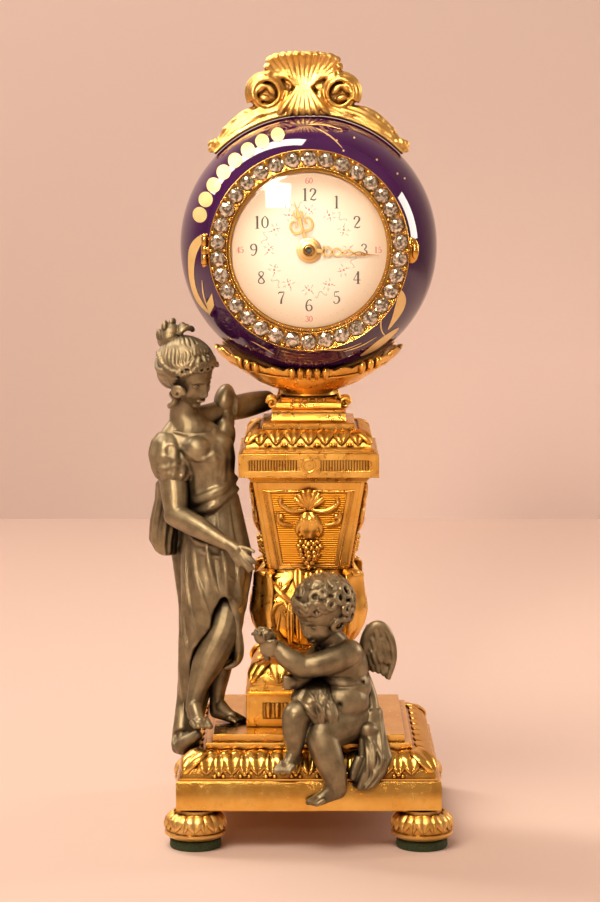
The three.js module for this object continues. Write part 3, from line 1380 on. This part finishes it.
// the child's height, and its foot point to the right and forwards, as shares of
const cherubShare = 1.2876;
const cherubRightShare = 0.2575; // the half width of the slab that it sits on
const cherubForwardShare = 0.7725;
const cherubHeight = cherubShare * slabHalf;
const womanPlace = [-(upperStepHalf + womanOutside), -womanForward, plinthTop];
const cherubPlace = [cherubRightShare * slabHalf, -cherubForwardShare * slabHalf, plinthTop];

const figure = (height, [left, back, up]) => {
  const spot = ([x, y, z]) => [left + x * height, back + y * height, up + z * height];
  return {
    limb: (rows, count) => limb(rows.map(([x, y, z, wide, deep = wide]) =>
      [spot([x, y, z]), wide * height, deep * height]), count),
    bulge: ([[x, y, z, wide, deep, tall]], around, rows) =>
      egg(wide * height, deep * height, tall * height, ...spot([x, y, z]), around, rows),
    cloth: (rows, count, foldCount, depth) => loft(rows.map(([x, y, z, wide, deep, strength], i) =>
      levelRing(spot([x, y, z]), wide * height, deep * height, count,
        folds(foldCount, depth * strength, i * foldDrift)))),
  };
};

// Folds of hanging cloth: rings of a loft swell and sink with the angle, and drift a little from ring to
// ring.
const foldDrift = 0.25;
const folds = (count, depth, phase = 0) => (angle) => 1 + depth * Math.cos(count * angle + phase);

// Everything that the figures rest on or stand beside, grown by a fit
const stemLipShare = 1.14;
const socleLipShare = 1.06;
const socleTopShare = 0.84;
const bulbTopShare = 0.8;
const bulbWidestShare = 0.4;

function surroundings() {
  const grow = fitGap;
  const column = [
    new THREE.Vector2(socleHalf * socleLipShare + grow, blockBase - overrun),
    new THREE.Vector2(blockHalf + grow, socleBase + grow),
    new THREE.Vector2(socleHalf * socleTopShare, bulbBase - grow),
    new THREE.Vector2(bulbHalf + grow, bulbBase + bulbWidestShare * bulbHeight),
    new THREE.Vector2(bulbHalf * bulbTopShare + grow, shaftBase),
    ...shaftEnvelope(grow),
  ];
  const neckWide = 2 * (stemHalf * stemLipShare + grow);
  const scrollWide = 2 * (voluteReach + voluteRadius + grow);
  const tall = stemHeight + 2 * grow;
  const middle = stemBase + stemHeight / 2;
  const neck = box(neckWide, neckWide, tall, 0, 0, middle);
  const scrolls = box(scrollWide, voluteDepth + 2 * grow, tall, 0, 0, middle);
  return [plinthEnvelope(grow), squareTurned(onAxis(column)), capitalEnvelope(grow), neck, scrolls];
}

// Standing woman: gown with a puffed sleeve, one leg crossed in front, one arm along the pedestal
const gownFolds = 6;
const gownFoldDepth = 0.06;
const gownSides = 13;
const robeSides = 8;
const robeFolds = 4;
const robeFoldDepth = 0.08;
const limbSides = 6;
const roundSides = 7;
const roundRows = 4;
const womanShares = {
  crown: [[-0.047, 0.017, 0.857, 0.044, 0.052, 0.065]],
  hair: [[-0.056, 0.039, 0.879, 0.056, 0.057, 0.06]],
  bun: [[-0.083, 0.067, 0.904, 0.031, 0.033, 0.037]],
  neck: [
    [-0.045, 0.037, 0.808, 0.029], [-0.047, 0.036, 0.755, 0.029], [-0.043, 0.04, 0.715, 0.043, 0.037],
  ],
  gown: [
    [-0.033, 0.047, 0.728, 0.037, 0.03, 0], [-0.029, 0.047, 0.705, 0.077, 0.044, 0],
    [-0.024, 0.036, 0.668, 0.085, 0.056, 0], [-0.011, 0.029, 0.615, 0.079, 0.056, 0.4],
    [0.001, 0.028, 0.555, 0.071, 0.051, 0.6], [0.019, 0.023, 0.455, 0.083, 0.061, 1],
    [0.021, 0.02, 0.368, 0.088, 0.071, 1], [0.019, 0.013, 0.221, 0.083, 0.077, 1],
    [0.005, 0.005, 0.088, 0.075, 0.073, 1], [-0.011, -0.009, -0.012, 0.069, 0.073, 1],
    [-0.023, -0.024, -0.059, 0.053, 0.053, 1],
  ],
  nearSleeve: [[-0.069, 0.017, 0.644, 0.041, 0.04, 0.06]],
  farSleeve: [[0.033, 0.087, 0.715, 0.044, 0.04, 0.049]],
  nearArm: [
    [-0.083, 0.013, 0.615, 0.028], [-0.079, -0.013, 0.521, 0.026], [-0.065, -0.024, 0.499, 0.026],
    [0.037, -0.091, 0.457, 0.017], [0.067, -0.107, 0.441, 0.02, 0.015],
    [0.097, -0.12, 0.419, 0.021, 0.011],
  ],
  nearFinger: [
    [0.088, -0.12, 0.431, 0.008], [0.111, -0.131, 0.437, 0.007],
  ],
  farArm: [
    [0.041, 0.1, 0.735, 0.031], [0.077, 0.133, 0.759, 0.027], [0.117, 0.163, 0.767, 0.02],
    [0.147, 0.18, 0.764, 0.017],
  ],
  nearBreast: [[-0.033, -0.013, 0.657, 0.033, 0.029, 0.033]],
  farBreast: [[0.028, -0.003, 0.664, 0.031, 0.028, 0.032]],
  frontLeg: [
    [0.061, -0.007, 0.301, 0.047], [0.055, -0.051, 0.215, 0.043], [0.007, -0.077, 0.141, 0.029],
    [-0.024, -0.08, 0.077, 0.019], [-0.027, -0.087, 0.051, 0.02], [0.001, -0.153, 0.025, 0.017, 0.009],
  ],
  rearLeg: [
    [0.044, 0.007, 0.088, 0.027], [0.027, 0.013, 0.041, 0.021], [0.048, 0, 0.019, 0.02, 0.013],
    [0.077, -0.016, 0.012, 0.015, 0.009],
  ],
  robeBag: [
    [-0.068, 0.04, 0.595, 0.02, 0.02, 0], [-0.076, 0.06, 0.535, 0.02, 0.024, 0],
    [-0.079, 0.067, 0.488, 0.029, 0.033, 1], [-0.077, 0.069, 0.435, 0.031, 0.037, 1],
    [-0.075, 0.073, 0.405, 0.02, 0.024, 0],
  ],
  robeFall: [
    [0.071, 0.08, 0.488, 0.033, 0.04], [0.081, 0.083, 0.408, 0.033, 0.047],
    [0.084, 0.084, 0.341, 0.029, 0.04], [0.071, 0.073, 0.261, 0.024, 0.033],
  ],
  robeTail: [
    [-0.063, -0.013, 0.055, 0.023, 0.027], [-0.076, -0.047, -0.005, 0.024, 0.033],
    [-0.069, -0.073, -0.041, 0.02, 0.027], [-0.049, -0.1, -0.005, 0.027, 0.02],
    [-0.007, -0.12, 0.008, 0.024, 0.017],
  ],
};

function woman() {
  const { limb: arm, bulge, cloth } = figure(womanHeight, womanPlace);
  const her = womanShares;
  const head = [
    bulge(her.crown, roundSides, roundRows), bulge(her.hair, roundSides, roundRows),
    bulge(her.bun, roundSides, roundRows), arm(her.neck, limbSides),
  ];
  const gown = cloth(her.gown, gownSides, gownFolds, gownFoldDepth);
  const bust = [bulge(her.nearBreast, roundSides, roundRows), bulge(her.farBreast, roundSides, roundRows)];
  const sleeves = [bulge(her.nearSleeve, roundSides, roundRows),
    bulge(her.farSleeve, roundSides, roundRows)];
  const arms = [her.nearArm, her.nearFinger, her.farArm].map((rows) => arm(rows, limbSides));
  const legs = [her.frontLeg, her.rearLeg].map((rows) => arm(rows, limbSides));
  const robe = [cloth(her.robeBag, robeSides, robeFolds, robeFoldDepth),
    arm(her.robeFall, limbSides), arm(her.robeTail, limbSides)];
  return cut(join(gown, head, sleeves, arms, bust, legs, robe), surroundings());
}
addPart("woman_figure", woman(), patina);

// Seated winged child with a nosegay, a cloth across the lap
const cherubShares = {
  face: [[-0.127, -0.04, 0.767, 0.143, 0.15, 0.163]],
  hair: [[-0.11, -0.007, 0.813, 0.19, 0.173, 0.157]],
  neck: [
    [-0.09, 0.017, 0.653, 0.073], [-0.05, 0.05, 0.52, 0.083],
  ],
  trunk: [
    [-0.02, 0.067, 0.537, 0.083, 0.067], [-0.01, 0.057, 0.47, 0.167, 0.117],
    [-0.007, 0.033, 0.353, 0.153, 0.133], [0, 0.023, 0.237, 0.167, 0.15],
    [0.023, 0.05, 0.103, 0.173, 0.157], [0.03, 0.067, 0.02, 0.15, 0.143],
  ],
  nearArm: [
    [0.077, 0.017, 0.453, 0.073], [-0.05, -0.1, 0.403, 0.067], [-0.227, -0.133, 0.437, 0.053],
    [-0.44, -0.1, 0.57, 0.047],
  ],
  farArm: [
    [-0.143, 0.017, 0.437, 0.067], [-0.217, -0.083, 0.363, 0.057], [-0.3, -0.117, 0.347, 0.053],
    [-0.333, -0.127, 0.377, 0.047],
  ],
  nosegay: [[-0.467, -0.1, 0.59, 0.063, 0.057, 0.08]],
  farLeg: [
    [0.017, 0.033, 0.12, 0.12], [-0.277, -0.167, 0.227, 0.093], [-0.313, -0.2, 0.137, 0.08],
    [-0.293, -0.2, -0.04, 0.05], [-0.307, -0.227, -0.09, 0.05, 0.043],
    [-0.367, -0.277, -0.12, 0.043, 0.027],
  ],
  nearLeg: [
    [0.067, 0.033, 0.087, 0.123], [-0.133, -0.21, 0.047, 0.1], [-0.107, -0.25, -0.047, 0.083],
    [-0.053, -0.233, -0.237, 0.05], [-0.083, -0.25, -0.283, 0.053, 0.043],
    [-0.167, -0.29, -0.317, 0.047, 0.027],
  ],
  clothFall: [
    [0.133, 0.117, 0.287, 0.057, 0.073], [0.167, 0.033, 0.153, 0.067, 0.083],
    [0.177, -0.067, 0.02, 0.073, 0.083], [0.19, -0.16, -0.097, 0.063, 0.057],
    [0.157, -0.243, -0.213, 0.047, 0.033], [0.167, -0.25, -0.287, 0.027, 0.02],
  ],
  clothLap: [
    [0.117, 0.033, 0.203, 0.05, 0.083], [-0.033, -0.083, 0.22, 0.05, 0.093],
    [-0.183, -0.157, 0.297, 0.043, 0.073], [-0.25, -0.167, 0.32, 0.027, 0.05],
  ],
  clothKnot: [
    [0.133, -0.133, -0.013, 0.067, 0.057], [0.06, -0.233, -0.13, 0.067, 0.04],
    [0.06, -0.243, -0.22, 0.037, 0.023],
  ],
  wing: [
    [0.1, 0.133, 0.487, 0.05, 0.033], [0.183, 0.15, 0.587, 0.073, 0.037],
    [0.25, 0.157, 0.503, 0.077, 0.033], [0.267, 0.153, 0.387, 0.057, 0.027],
    [0.257, 0.15, 0.303, 0.027, 0.017],
  ],
  farWing: [
    [-0.077, 0.127, 0.47, 0.05, 0.04], [-0.243, 0.157, 0.587, 0.067, 0.033],
    [-0.293, 0.167, 0.487, 0.06, 0.03], [-0.3, 0.167, 0.37, 0.027, 0.017],
  ],
};

function cherub() {
  const { limb: arm, bulge } = figure(cherubHeight, cherubPlace);
  const his = cherubShares;
  const head = [bulge(his.face, roundSides, roundRows), bulge(his.hair, roundSides + 2, roundRows + 1),
    arm(his.neck, limbSides)];
  const trunk = arm(his.trunk, roundSides);
  const limbs = [his.nearArm, his.farArm, his.farLeg, his.nearLeg].map((rows) => arm(rows, limbSides));
  const nosegay = bulge(his.nosegay, roundSides, roundRows);
  const cloth = [his.clothFall, his.clothLap, his.clothKnot].map((rows) => arm(rows, limbSides));
  const wings = [his.wing, his.farWing].map((rows) => arm(rows, limbSides));
  return cut(join(trunk, head, limbs, nosegay, cloth, wings), surroundings());
}
addPart("cherub_figure", cherub(), patina);

export default clock;
